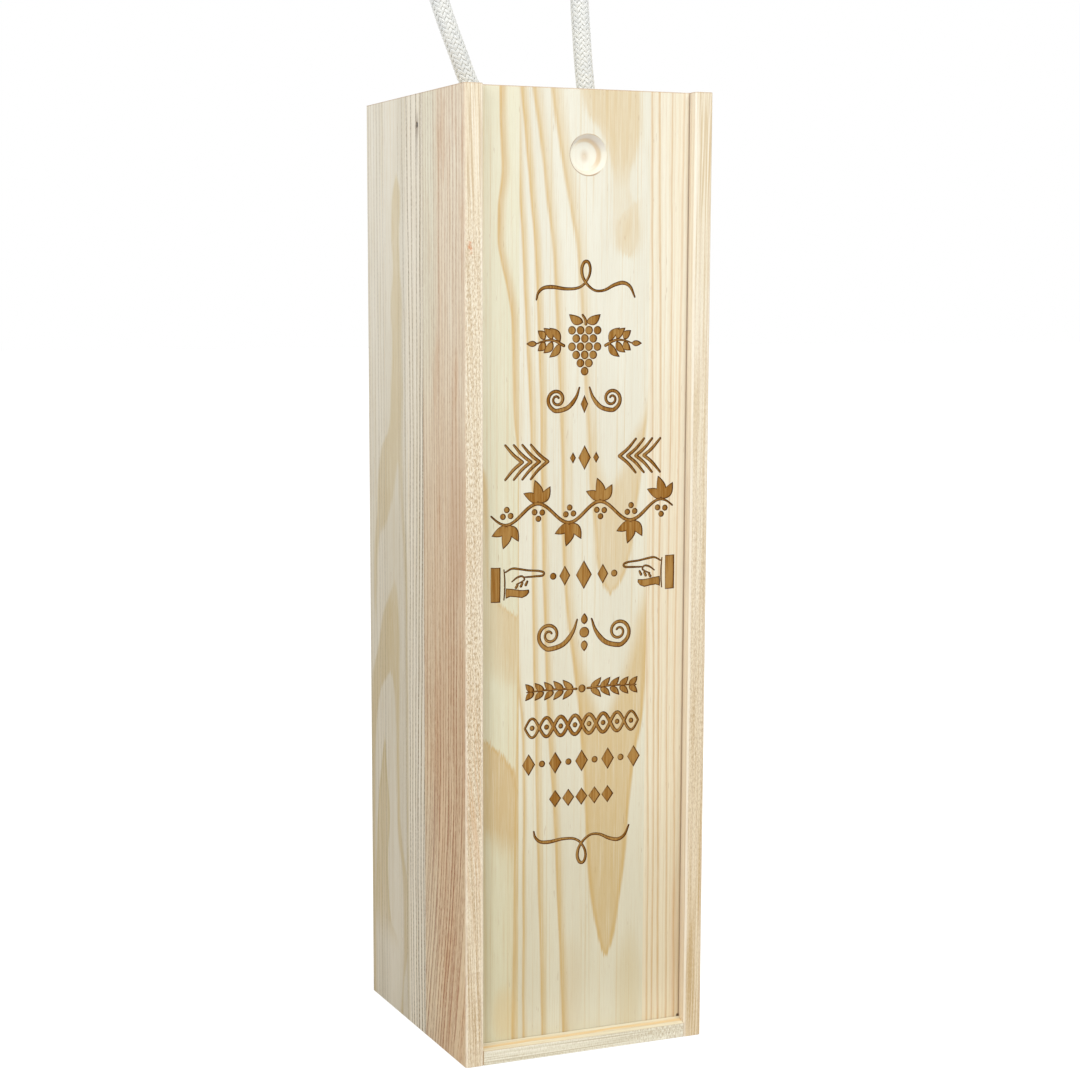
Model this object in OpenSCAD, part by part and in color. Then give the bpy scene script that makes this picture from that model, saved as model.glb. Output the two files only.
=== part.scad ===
// Pine gift box for one bottle of wine, with a sliding lid and a rope handle.
// Origin at the centre of the foot, front towards -Y, millimetres.

/* [Box] */
// Width over the two sides
box_w = 96; // [92:1:120]
// Depth from the front edges to the back face
box_d = 100; // [92:1:125]
// Height of the sides
box_h = 350; // [335:1:380]
// Thickness of the side, back, top and bottom boards
board_t = 7; // [6:0.5:9]
// Bevel on the outer arrises
arris = 0.5; // [0.2:0.1:1]

/* [Glued staves] */
// Width of the front stave of each side
side_stave_w = 40.5; // [25:0.5:44]
// Width of the lid's centre stave
lid_stave_w = 51; // [30:1:60]
// Width of the back's left stave
back_stave_w = 46; // [20:1:60]

/* [Lid] */
// Thickness of the lid
lid_t = 7; // [6:0.5:9]
// Thickness of the tongues on its edges
tongue_t = 3.5; // [2.5:0.1:4.5]
// How far a tongue reaches into its groove
tongue_reach = 3; // [2:0.1:4]
// Thickness of the lip in front of a groove
lip_t = 4.3; // [3:0.1:6]
// Clearance on each flat of a tongue
slide_gap = 0.2; // [0.1:0.05:0.4]
// Clearance at the tips of the side tongues
tip_gap = 0.5; // [0.2:0.1:0.8]
// Clearance of the lid's back from the sides
flank_gap = 0.4; // [0.2:0.1:1]
// Clearance under the lid at rest
seat_gap = 0.2; // [0.1:0.05:0.4]
// Bevel along the lid's top edge
lid_bevel = 0.4; // [0.1:0.1:1]

/* [Finger recess] */
// Diameter of its mouth
recess_d = 14.6; // [12:0.1:20]
// Depth of its floor below the lid's face
recess_depth = 3.6; // [3:0.1:5]
// How much its wall draws in, from mouth to floor
recess_taper = 1.5; // [0.5:0.1:2]
// Radius where the wall meets the floor
recess_fillet = 1.2; // [0.4:0.1:2]
// Distance of its centre from the lid's top edge
recess_drop = 22.8; // [16:0.1:40]
// Distance of its centre to the right of the lid's middle
recess_shift = 1.1; // [-5:0.1:5]
// Diameter of the centre mark left by the drill
mark_d = 1.6; // [1:0.1:3]
// Depth of the centre mark
mark_depth = 0.4; // [0.2:0.1:0.8]

/* [Ends] */
// Depth of the well between the rim and the top board
well_depth = 7.5; // [5:0.5:20]
// Clearance between the lid and the top board
lid_back_gap = 0.5; // [0.3:0.1:1.5]
// Height of the sill's front edge
sill_h = 5.3; // [3.5:0.1:6]

/* [Rope] */
// Diameter of the rope
rope_d = 7; // [6:0.5:8]
// Spacing of the two rope holes
rope_spacing = 44; // [38:1:50]
// Clearance between the rope and its hole
hole_gap = 0.5; // [0.2:0.1:1]
// Clearance between the loop and the rope's fixed ends
swing_gap = 0.3; // [0.2:0.05:0.5]
// Diameter of the stopper knots
knot_d = 16; // [13:0.5:19]
// Height of the stopper knots
knot_h = 13; // [10:0.5:18]
// Length of rope below each knot
tail_l = 9; // [5:0.5:15]
// Clearance between a knot and the board that stops it
knot_gap = 0.2; // [0.1:0.05:0.4]

/* [Brads] */
// Diameter of the shank
brad_d = 1.3; // [1:0.1:1.6]
// Length over all
brad_l = 16; // [12:0.5:16]
// Diameter of the head
brad_head_d = 2.2; // [1.8:0.1:3]
// Thickness of the head
brad_head_t = 0.8; // [0.5:0.1:1.2]
// How far the head is set below the face
brad_sink = 0.3; // [0.1:0.1:0.8]
// Clearance round the brad
brad_gap = 0.02; // [0.01:0.01:0.05]
// Distance of the brads from the front edges
brad_inset = 45.6; // [42:0.2:60]

/* [Hidden] */

$fn = 64;
eps = 0.01;                                       // overlap of a cut with its face

pine = [0.93, 0.88, 0.74];
pine_pink = [0.88, 0.78, 0.64];
pine_cool = [0.86, 0.82, 0.72];
cotton = [0.92, 0.91, 0.87];
steel = [0.62, 0.62, 0.62];

front_y = -box_d / 2;
inner_w = box_w - 2 * board_t;                    // between the two sides
back_y = box_d / 2 - board_t;                     // inner face of the back

groove_y = front_y + lip_t;                       // front wall of the grooves
groove_w = tongue_t + 2 * slide_gap;
groove_depth = tongue_reach + tip_gap;            // in the sides
bottom_groove_z = board_t - tongue_reach;         // floor of the sill's groove

lid_y = groove_y + slide_gap;                     // the lid's face
lid_back_y = lid_y + lid_t;
tongue_z = bottom_groove_z + seat_gap;            // foot of the lid's tongue
lid_body_z = board_t + seat_gap;                  // foot of the lid's thick part
lid_w = inner_w + 2 * tongue_reach;
recess_z = box_h - recess_drop;

top_z = box_h - well_depth;                       // upper face of the top board
top_under_z = top_z - board_t;
brad_y = front_y + brad_inset;
brad_z = top_z - board_t / 2;

rope_r = rope_d / 2;
hinge_z = top_z + swing_gap + rope_r;             // the loop bends about this height
knot_top_z = top_under_z - knot_gap;

// The loop's route between its two feet: x, y, and height above the bend.
loop_route = [
    [-24, 0, 5], [-27, 0, 11], [-30, 0.5, 19], [-33.5, 1, 28], [-37, 1.5, 38],
    [-40, 2, 49], [-42, 3, 61], [-41.5, 4, 72], [-38, 4.5, 82], [-32, 5, 90],
    [-24, 5.5, 96], [-14, 6, 99], [-4, 5.5, 97.5], [5, 5, 92], [12, 4.5, 83],
    [16.5, 4, 72], [18.5, 3, 60], [19, 2, 48], [19.2, 1.5, 38], [19.7, 1, 28],
    [20.2, 0.5, 19], [20.8, 0, 11], [21.5, 0, 5]
];
rope_sides = 12;
dome_steps = [80, 55, 30];                        // angles of the rings on the loop's feet

// --- Boards ---------------------------------------------------------------

// Cross-section of the left side, with the lid's groove along its inner face.
module side_section() {
    outer_x = -box_w / 2;
    inner_x = -inner_w / 2;
    difference() {
        polygon([
            [outer_x + arris, front_y], [inner_x - arris, front_y], [inner_x, front_y + arris],
            [inner_x, box_d / 2], [outer_x + arris, box_d / 2], [outer_x, box_d / 2 - arris],
            [outer_x, front_y + arris]
        ]);
        translate([inner_x - groove_depth, groove_y])
            square([groove_depth + eps, groove_w]);
    }
}

// One of the two staves that the left side is glued from.
module side_stave(from_y, to_y) {
    linear_extrude(box_h)
        intersection() {
            side_section();
            translate([-box_w, from_y]) square([box_w, to_y - from_y]);
        }
}

stave_joint_y = front_y + side_stave_w;

module front_stave() {
    side_stave(front_y, stave_joint_y);
}

module rear_stave() {
    difference() {
        side_stave(stave_joint_y, box_d / 2);
        brad_hole();
    }
}

module left_front_stave() {
    color(pine_pink) front_stave();
}

module left_rear_stave() {
    color(pine_cool) rear_stave();
}

module right_front_stave() {
    color(pine_pink) mirror([1, 0, 0]) front_stave();
}

module right_rear_stave() {
    color(pine_cool) mirror([1, 0, 0]) rear_stave();
}

// A stave of the back, which stands between the sides, flush with their rear edges.
module back_stave(from_x, to_x) {
    color(pine_cool)
        translate([from_x, back_y, 0]) cube([to_x - from_x, board_t, box_h]);
}

back_joint_x = -inner_w / 2 + back_stave_w;

module back_left_stave() {
    back_stave(-inner_w / 2, back_joint_x);
}

module back_right_stave() {
    back_stave(back_joint_x, inner_w / 2);
}

// The bottom board, with a sloping sill in front of the groove for the lid's foot.
module bottom_board() {
    color(pine)
        rotate([90, 0, 90])
            translate([0, 0, -inner_w / 2])
                linear_extrude(inner_w)
                    polygon([
                        [front_y, 0], [back_y, 0], [back_y, board_t],
                        [groove_y + groove_w, board_t], [groove_y + groove_w, bottom_groove_z],
                        [groove_y, bottom_groove_z], [groove_y, board_t], [front_y, sill_h]
                    ]);
}

// The top board, let in below the rim behind the lid, with the two rope holes.
module top_board() {
    edge_y = lid_back_y + lid_back_gap;
    color(pine)
        difference() {
            translate([-inner_w / 2, edge_y, top_under_z])
                cube([inner_w, back_y - edge_y, board_t]);
            for (side = [-1, 1])
                translate([side * rope_spacing / 2, 0, top_under_z - eps])
                    cylinder(h = board_t + 2 * eps, d = rope_d + 2 * hole_gap);
            brad_hole();
            mirror([1, 0, 0]) brad_hole();
        }
}

// --- Lid ------------------------------------------------------------------

// The whole lid: a face with tongues on three edges, and a thicker back between them.
module lid_blank() {
    body_w = inner_w - 2 * flank_gap;
    translate([-lid_w / 2, lid_y, tongue_z])
        rotate([90, 0, 90])
            linear_extrude(lid_w)
                polygon([
                    [0, 0], [tongue_t, 0], [tongue_t, box_h - tongue_z],
                    [lid_bevel, box_h - tongue_z], [0, box_h - tongue_z - lid_bevel]
                ]);
    translate([-body_w / 2, lid_y + tongue_t - eps, lid_body_z])
        cube([body_w, lid_t - tongue_t + eps, box_h - lid_body_z]);
}

// The part of the lid between two upright glue lines.
module lid_stave(from_x, to_x) {
    intersection() {
        lid_blank();
        translate([from_x, front_y, 0]) cube([to_x - from_x, box_d, box_h + 1]);
    }
}

module lid_left_stave() {
    color(pine) lid_stave(-box_w / 2, -lid_stave_w / 2);
}

module lid_right_stave() {
    color(pine) lid_stave(lid_stave_w / 2, box_w / 2);
}

module lid_centre_stave() {
    color(pine)
        difference() {
            lid_stave(-lid_stave_w / 2, lid_stave_w / 2);
            finger_recess();
        }
}

// A round dished recess for a fingertip, with the drill's mark in the middle of its floor.
module finger_recess() {
    mouth_r = recess_d / 2;
    floor_r = mouth_r - recess_taper;
    fillet_steps = 6;
    translate([recess_shift, lid_y, recess_z])
        rotate([-90, 0, 0])
            rotate_extrude()
                polygon([
                    [0, -eps], [mouth_r, -eps], [mouth_r, 0],
                    for (i = [0:fillet_steps])
                        let (a = 90 * i / fillet_steps)
                            [floor_r - recess_fillet * (1 - cos(a)),
                             recess_depth - recess_fillet * (1 - sin(a))],
                    [mark_d / 2, recess_depth], [0, recess_depth + mark_depth]
                ]);
}

// --- Brads ----------------------------------------------------------------

// The left brad's outline, grown all round by a clearance; it runs in from the side's face.
module brad_form(gap) {
    translate([-box_w / 2 + brad_sink, brad_y, brad_z])
        rotate([0, 90, 0]) {
            cylinder(h = brad_head_t + gap, d = brad_head_d + 2 * gap);
            cylinder(h = brad_l + gap, d = brad_d + 2 * gap);
        }
}

// The hole that the left brad sits in, open to the side's face.
module brad_hole() {
    brad_form(brad_gap);
    translate([-box_w / 2 - eps, brad_y, brad_z])
        rotate([0, 90, 0])
            cylinder(h = brad_sink + 2 * eps, d = brad_head_d + 2 * brad_gap);
}

module left_brad() {
    color(steel) brad_form(0);
}

module right_brad() {
    color(steel) mirror([1, 0, 0]) brad_form(0);
}

// --- Rope -----------------------------------------------------------------

function unit(v) = v / norm(v);

// Direction of a route at one of its points.
function direction(route, i) =
    unit(route[min(i + 1, len(route) - 1)] - route[max(i - 1, 0)]);

// A ring of points round a centre, square to a direction.
function ring(centre, dir, radius) =
    let (across = unit(cross([0, 1, 0], dir)), up = cross(dir, across))
        [for (k = [0:rope_sides - 1])
            let (a = 360 * k / rope_sides)
                centre + radius * (cos(a) * across + sin(a) * up)];

// A closed skin over a row of rings.
module skin(rings) {
    last = len(rings) - 1;
    points = [for (r = rings) each r];
    walls = [
        for (i = [0:last - 1], k = [0:rope_sides - 1])
            let (next = (k + 1) % rope_sides, here = i * rope_sides)
                [here + k, here + next, here + rope_sides + next, here + rope_sides + k]
    ];
    first_cap = [for (k = [rope_sides - 1:-1:0]) k];
    last_cap = [for (k = [0:rope_sides - 1]) last * rope_sides + k];
    polyhedron(points, concat([first_cap], [for (w = walls) [w[0], w[1], w[2], w[3]]], [last_cap]));
}

// The loop, from one domed foot over the top to the other.
module rope_handle() {
    up = [0, 0, 1];
    left_foot = [-rope_spacing / 2, 0, hinge_z];
    right_foot = [rope_spacing / 2, 0, hinge_z];
    route = concat([left_foot], [for (p = loop_route) [p[0], p[1], hinge_z + p[2]]], [right_foot]);
    last = len(route) - 1;
    color(cotton)
        skin(concat(
            [for (a = dome_steps) ring(left_foot - up * rope_r * sin(a), up, rope_r * cos(a))],
            [for (i = [0:last])
                let (dir = i == 0 ? up : i == last ? -up : direction(route, i))
                    ring(route[i], dir, rope_r)],
            [for (i = [len(dome_steps) - 1:-1:0])
                ring(right_foot - up * rope_r * sin(dome_steps[i]), -up, rope_r * cos(dome_steps[i]))]
        ));
}

// A fixed end of the rope: down through its hole to a stopper knot and a short tail.
module rope_end() {
    knot_r = knot_d / 2;
    mid_z = knot_top_z - knot_h / 2;
    tail_z = knot_top_z - knot_h - tail_l;
    knot_steps = 12;
    start_a = asin(rope_r / knot_r);
    rotate_extrude()
        polygon(concat(
            [[0, tail_z], [rope_r, tail_z]],
            [for (i = [0:knot_steps])
                let (a = 180 - start_a - (180 - 2 * start_a) * i / knot_steps)
                    [knot_r * sin(a), mid_z + knot_h / 2 * cos(a) / cos(start_a)]],
            [[rope_r, top_z], [0, top_z]]
        ));
}

module left_rope_end() {
    color(cotton) translate([-rope_spacing / 2, 0, 0]) rope_end();
}

module right_rope_end() {
    color(cotton) translate([rope_spacing / 2, 0, 0]) rope_end();
}

left_front_stave();
left_rear_stave();
right_front_stave();
right_rear_stave();
back_left_stave();
back_right_stave();
bottom_board();
top_board();
lid_left_stave();
lid_centre_stave();
lid_right_stave();
rope_handle();
left_rope_end();
right_rope_end();
left_brad();
right_brad();
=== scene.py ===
"""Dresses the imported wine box: pine boards, the burnt ornament on the lid and the braided rope.

Lengths in the lists below are millimetres, and everything that Blender gets is in metres.
Colours are three levels from 0 to 255.
"""
from math import cos, hypot, pi, radians, sin, tan

import bmesh
import bpy
import numpy as np
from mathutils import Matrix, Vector
from mathutils.geometry import delaunay_2d_cdt


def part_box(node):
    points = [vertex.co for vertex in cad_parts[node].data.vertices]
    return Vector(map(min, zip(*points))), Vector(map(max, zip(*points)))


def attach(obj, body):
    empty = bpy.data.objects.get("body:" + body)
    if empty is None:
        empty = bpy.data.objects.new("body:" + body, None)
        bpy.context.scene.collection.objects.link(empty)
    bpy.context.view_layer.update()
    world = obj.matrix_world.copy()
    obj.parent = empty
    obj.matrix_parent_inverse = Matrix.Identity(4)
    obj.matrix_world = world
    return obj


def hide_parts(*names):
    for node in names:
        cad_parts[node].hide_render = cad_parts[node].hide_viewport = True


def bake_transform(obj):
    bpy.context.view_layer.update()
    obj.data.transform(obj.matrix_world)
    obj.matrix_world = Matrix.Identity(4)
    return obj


MM = 0.001

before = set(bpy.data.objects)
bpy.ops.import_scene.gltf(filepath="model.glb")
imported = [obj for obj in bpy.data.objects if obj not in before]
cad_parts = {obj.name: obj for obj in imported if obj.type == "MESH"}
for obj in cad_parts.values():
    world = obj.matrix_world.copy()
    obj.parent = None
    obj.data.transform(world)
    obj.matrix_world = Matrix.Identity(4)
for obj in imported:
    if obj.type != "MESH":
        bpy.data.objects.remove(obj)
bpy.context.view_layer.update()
scene = bpy.context.scene
scene.view_settings.view_transform = "Standard"

# --- Camera -------------------------------------------------------------------

FRAME_PX = 1080
FOCAL_PX = 2181.4                       # focal length in pixels of the square frame
CENTRE_PX = (499.8, 616.9)              # where the lens axis meets the frame
YAW, PITCH, ROLL = 22.971, -8.185, -0.025

cam_data = bpy.data.cameras.new("camera")
cam_data.sensor_width = 36
cam_data.lens = 36 * FOCAL_PX / FRAME_PX
cam_data.shift_x = (FRAME_PX / 2 - CENTRE_PX[0]) / FRAME_PX
cam_data.shift_y = (CENTRE_PX[1] - FRAME_PX / 2) / FRAME_PX
cam_data.clip_start, cam_data.clip_end = 0.05, 50
camera = bpy.data.objects.new("camera", cam_data)
camera.location = (-0.33404, -0.75583, 0.27536)
camera.rotation_euler = (radians(90 + PITCH), radians(ROLL), radians(-YAW))
scene.collection.objects.link(camera)
scene.camera = camera


# --- Helpers ------------------------------------------------------------------

def srgb(*levels):
    """Three levels from 0 to 255 as linear RGBA."""
    out = []
    for level in levels:
        c = level / 255
        out.append(c / 12.92 if c <= 0.04045 else ((c + 0.055) / 1.055) ** 2.4)
    return (*out, 1.0)


def run_along(line):
    """How far along the line each of its points lies."""
    return np.concatenate([[0], np.cumsum(np.linalg.norm(np.diff(line, axis=0), axis=1))])


def spline(points, step):
    """Points every step or so along a smooth curve through the given ones."""
    p = [np.array(q, float) for q in points]
    p = [2 * p[0] - p[1], *p, 2 * p[-1] - p[-2]]
    fine = []
    for a, b, c, d in zip(p, p[1:], p[2:], p[3:]):
        for t in np.linspace(0, 1, 24, endpoint=False):
            fine.append(0.5 * (2 * b + (c - a) * t + (2 * a - 5 * b + 4 * c - d) * t ** 2
                               + (3 * b - a - 3 * c + d) * t ** 3))
    fine = np.array(fine + [p[-2]])
    run = run_along(fine)
    count = max(2, int(round(run[-1] / step)) + 1)
    at = np.linspace(0, run[-1], count)
    return np.stack([np.interp(at, run, fine[:, k]) for k in range(fine.shape[1])], 1)


def new_piece(name, verts, faces, materials, face_materials=None, smooth=False):
    """A mesh object from points in metres."""
    mesh = bpy.data.meshes.new(name)
    mesh.from_pydata([tuple(v) for v in verts], [], [tuple(f) for f in faces])
    for material in materials:
        mesh.materials.append(material)
    if face_materials is not None:
        mesh.polygons.foreach_set("material_index", face_materials)
    if smooth:
        mesh.polygons.foreach_set("use_smooth", [True] * len(mesh.polygons))
    mesh.update()
    piece = bpy.data.objects.new(name, mesh)
    scene.collection.objects.link(piece)
    return piece


# --- Shader graph helper ---------------------------------------------------------

CURVE_REACH = 60.0                      # a placed line stays this near to the grain's middle


class Value:
    """A number or vector inside a material, with arithmetic."""

    def __init__(self, graph, socket):
        self.graph, self.socket = graph, socket

    def __add__(self, other):
        return self.graph.math("ADD", self, other)

    def __sub__(self, other):
        return self.graph.math("SUBTRACT", self, other)

    def __rsub__(self, other):
        return self.graph.math("SUBTRACT", other, self)

    def __mul__(self, other):
        return self.graph.math("MULTIPLY", self, other)

    def __truediv__(self, other):
        return self.graph.math("DIVIDE", self, other)

    __radd__, __rmul__ = __add__, __mul__


class Graph:
    """A material or world whose nodes are made by calls, and the colour that it has so far."""

    def __init__(self, owner):
        owner.use_nodes = True
        self.owner, self.tree = owner, owner.node_tree
        self.tree.nodes.clear()
        self.colour = None

    def new(self, kind, **settings):
        node = self.tree.nodes.new("ShaderNode" + kind)
        for key, value in settings.items():
            setattr(node, key, value)
        return node

    def put(self, socket, value):
        """Gives a socket a value, or leaves it as it is where there is none."""
        if isinstance(value, Value):
            self.tree.links.new(value.socket, socket)
        elif value is not None:
            socket.default_value = value

    def math(self, operation, *values):
        node = self.new("Math", operation=operation)
        for socket, value in zip(node.inputs, values):
            self.put(socket, value)
        return Value(self, node.outputs[0])

    def most(self, *values):
        """The largest of the values."""
        out = values[0]
        for value in values[1:]:
            out = self.math("MAXIMUM", out, value)
        return out

    def smooth(self, value, low, high):
        """A soft step from 0 at low to 1 at high, which may be the smaller of the two."""
        node = self.new("MapRange", interpolation_type="SMOOTHSTEP")
        for socket, item in zip(node.inputs, (value, low, high, 0.0, 1.0)):
            self.put(socket, item)
        return Value(self, node.outputs[0])

    def window(self, value, low, low_in, high_in, high):
        """1 between the inner two levels and 0 outside the outer two."""
        return self.smooth(value, low, low_in) * self.smooth(value, high, high_in)

    def combine(self, x, y, z):
        node = self.new("CombineXYZ")
        for socket, value in zip(node.inputs, (x, y, z)):
            self.put(socket, value)
        return Value(self, node.outputs[0])

    def separate(self, vector):
        node = self.new("SeparateXYZ")
        self.put(node.inputs[0], vector)
        return [Value(self, s) for s in node.outputs]

    def place(self):
        """Place on the object in millimetres, as x, y and z."""
        coord = self.new("TexCoord")
        return [v * 1000.0 for v in self.separate(Value(self, coord.outputs["Object"]))]

    def normal(self):
        return self.separate(Value(self, self.new("NewGeometry").outputs["Normal"]))

    def noise(self, x, y, z, detail=2.0, roughness=0.5):
        node = self.new("TexNoise")
        self.put(node.inputs["Vector"], self.combine(x, y, z))
        node.inputs["Scale"].default_value = 1.0
        node.inputs["Detail"].default_value = detail
        node.inputs["Roughness"].default_value = roughness
        return Value(self, node.outputs["Factor" if "Factor" in node.outputs else "Fac"])

    def chance(self, value):
        """A number from 0 to 1 that is the same wherever the value is the same."""
        node = self.new("TexWhiteNoise", noise_dimensions="1D")
        self.put(node.inputs["W"], value)
        return Value(self, node.outputs["Value"])

    def curve(self, value, points, length):
        """The across-the-grain place of a line, at a place along a grain of that length."""
        node = self.new("FloatCurve")
        line = node.mapping.curves[0]
        spots = [(a / length, (b + CURVE_REACH) / (2 * CURVE_REACH)) for a, b in sorted(points)]
        line.points[0].location, line.points[1].location = spots[0], spots[-1]
        for a, b in spots[1:-1]:
            line.points.new(a, b)
        for point in line.points:
            point.handle_type = "AUTO_CLAMPED"
        node.mapping.extend = "HORIZONTAL"
        node.mapping.update()
        self.put(node.inputs["Value"], value / length)
        return Value(self, node.outputs[0]) * (2 * CURVE_REACH) - CURVE_REACH

    def mix(self, share, a, b, blend="MIX"):
        """Colour a, with colour b over it by a share from 0 to 1."""
        node = self.new("Mix", data_type="RGBA", blend_type=blend)
        for k, value in ((0, share), (6, a), (7, b)):
            self.put(node.inputs[k], srgb(*value) if isinstance(value, tuple) else value)
        return Value(self, node.outputs[2])

    def lay(self, share, tone, blend="MIX"):
        """Lays a tone over the colour so far."""
        self.colour = self.mix(share, self.colour, tone, blend)

    def finish(self, roughness, height, reach, specular, **constants):
        """The material, from the colour so far, a roughness, and bumps that reach so many metres."""
        shader, bump = self.new("BsdfPrincipled"), self.new("Bump")
        self.put(shader.inputs["Base Color"], self.colour)
        self.put(shader.inputs["Roughness"], roughness)
        self.put(shader.inputs["Specular IOR Level"], specular)
        for key, value in constants.items():
            shader.inputs[key.replace("_", " ")].default_value = value
        self.put(bump.inputs["Strength"], 0.6)
        self.put(bump.inputs["Distance"], reach)
        self.put(bump.inputs["Height"], height)
        self.put(shader.inputs["Normal"], Value(self, bump.outputs[0]))
        self.put(self.new("OutputMaterial").inputs[0], Value(self, shader.outputs[0]))
        return self.owner


# --- Rope -----------------------------------------------------------------------

ROPE_R = 3.5
HOLE_X, HINGE_Z, TOP_BOARD_Z, ROPE_START_Z = 22.0, 346.3, 342.5, 340.0
# The loop's route between its feet: x, y, and height above the bend.
LOOP_ROUTE = [
    (-24, 0, 5), (-27, 0, 11), (-30, 0.5, 19), (-33.5, 1, 28), (-37, 1.5, 38), (-40, 2, 49), (-42, 3, 61),
    (-41.5, 4, 72), (-38, 4.5, 82), (-32, 5, 90), (-24, 5.5, 96), (-14, 6, 99), (-4, 5.5, 97.5),
    (5, 5, 92), (12, 4.5, 83), (16.5, 4, 72), (18.5, 3, 60), (19, 2, 48), (19.2, 1.5, 38), (19.7, 1, 28),
    (20.2, 0.5, 19), (20.8, 0, 11), (21.5, 0, 5)]
YARN_SAMPLE = 0.42                      # distance between the rings of a yarn
OVERLAP = 1.04                          # each pair of yarns is a little wider than its place


def carried_frames(line):
    """Tangent and two square directions along a line, turned as little as possible."""
    along = np.gradient(line, axis=0)
    along /= np.linalg.norm(along, axis=1)[:, None]
    side = np.cross(along[0], (0, 1, 0))
    if np.linalg.norm(side) < 1e-3:
        side = np.cross(along[0], (1, 0, 0))
    sides = [side / np.linalg.norm(side)]
    for t in along[1:]:
        s = sides[-1] - t * (sides[-1] @ t)
        sides.append(s / np.linalg.norm(s))
    sides = np.array(sides)
    return along, sides, np.cross(along, sides)


def tube(base, sides, count):
    """Faces of a closed tube of lines, each of count points, from line number base on."""
    def at(s, i):
        return (base + s % sides) * count + i

    made = [[at(s, i), at(s + 1, i), at(s + 1, i + 1), at(s, i + 1)]
            for i in range(count - 1) for s in range(sides)]
    made.append([at(s, 0) for s in range(sides - 1, -1, -1)])
    made.append([at(s, count - 1) for s in range(sides)])
    return made


def braid(line, radius, carriers=12, thickness=0.62, fray=0.0):
    """Points and faces of a braided rope: pairs of yarns, over two and under two, on a core."""
    along, side, up = carried_frames(line)
    count = len(line)
    run = run_along(line)
    slope = radians(38.0)
    waist = radius - thickness          # middle radius of the weave
    turn = tan(slope) / waist
    width = 2 * pi * waist / carriers * cos(slope) * OVERLAP
    # Section of a pair of yarns: across the pair, and outwards.
    section = [(-0.5, -0.05), (-0.27, 0.5), (0.0, 0.16), (0.27, 0.5), (0.5, -0.05), (0.0, -0.5)]
    lines, faces = [], []
    loose = np.clip((run - (run[-1] - fray)) / fray, 0, 1) if fray else np.zeros(count)
    thin = (1 - 0.6 * loose)[:, None]
    for way in (1, -1):
        for k in range(carriers):
            angle = way * turn * run + 2 * pi * k / carriers
            phase = 2 * k + way * turn * run * carriers / pi - 0.5
            lift = way * np.cos(pi / 2 * phase) * thickness * 0.5 * (1 - loose)
            flare = loose ** 1.5 * (1.1 + 0.7 * sin(7.3 * k + way))
            r = waist + lift + flare
            out = np.cos(angle)[:, None] * side + np.sin(angle)[:, None] * up
            round_ = -np.sin(angle)[:, None] * side + np.cos(angle)[:, None] * up
            across = cos(slope) * round_ - way * sin(slope) * along
            faces += tube(len(lines), len(section), count)
            lines += [line + out * (r + b * thickness)[:, None] + across * (a * width) * thin
                      for a, b in section]
    sides = 12
    shrink = (1 - 0.5 * loose)[:, None]
    faces += tube(len(lines), sides, count)
    for s in range(sides):
        a = 2 * pi * s / sides
        out = cos(a) * side + sin(a) * up
        lines.append(line + out * (waist - 0.25 * thickness) * shrink)
    return np.concatenate(lines), faces


def cotton():
    """White cotton with fine fibre and soft grey patches."""
    g = Graph(bpy.data.materials.new("cotton_rope"))
    x, y, z = g.place()
    fine = g.noise(x * 3.0, y * 3.0, z * 3.0, 3.0, 0.6)
    soft = g.noise(x * 0.25, y * 0.25, z * 0.25)
    g.colour = g.mix(g.smooth(soft, 0.35, 0.65), (247, 248, 244), (239, 241, 239))
    g.lay(g.smooth(fine, 0.52, 0.72) * 0.5, (218, 219, 214))
    return g.finish(0.92, fine, 0.0001, 0.15, Sheen_Weight=0.25, Sheen_Roughness=0.5)


COTTON = cotton()

in_hole = (ROPE_START_Z, TOP_BOARD_Z, HINGE_Z)
loop_line = spline([(-HOLE_X, 0, z) for z in in_hole]
                   + [(x, y, HINGE_Z + h) for x, y, h in LOOP_ROUTE]
                   + [(HOLE_X, 0, z) for z in in_hole[::-1]], YARN_SAMPLE)
points, faces = braid(loop_line, ROPE_R)
rope = new_piece("braided_loop", points * MM, faces, [COTTON], smooth=True)
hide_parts("rope_handle")
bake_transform(rope)

END_R = 2.6                             # the ends are drawn tighter than the loop
KNOT_Z = 328.9                          # middle of a stopper knot
TAIL_Z = 313.3                          # tip of its tail


def knotted_end(name, x, node, mirror):
    """A fixed end of the rope: through its hole to an overhand knot and a frayed tail."""
    ring_r, swell, rise = 3.3, 2.0, 3.3
    knot = []
    for k in range(19):
        t = radians(105 + k * 16.6)
        r = ring_r + swell * cos(3 * t)
        knot.append((r * cos(2 * t), r * sin(2 * t), KNOT_Z + rise * sin(3 * t)))
    route = [(0, 0, ROPE_START_Z), (0, 0, 337.5), *knot, (0, 0, 319.5), (0, 0, TAIL_Z)]
    route = [(x + mirror * a, b, c) for a, b, c in route]
    points, faces = braid(spline(route, 0.45), END_R, carriers=8, thickness=0.5, fray=4.0)
    piece = new_piece(name, points * MM, faces, [COTTON], smooth=True)
    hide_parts(node)
    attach(piece, "carcass")
    return piece


knots = [knotted_end("left_stopper_knot", -HOLE_X, "left_rope_end", 1),
         knotted_end("right_stopper_knot", HOLE_X, "right_rope_end", -1)]

# --- Floor, background and light ---------------------------------------------------

WORLD_LIGHT, FLOOR_GLOW = 0.62, 0.84
# Name, place, size and power.
LAMPS = [("key", (0.35, -1.1, 1.15), 0.8, 8.0), ("fill", (-1.1, -0.5, 0.9), 0.9, 6.0)]
AIM = Vector((0, 0, 0.2))               # where both lamps point


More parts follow.
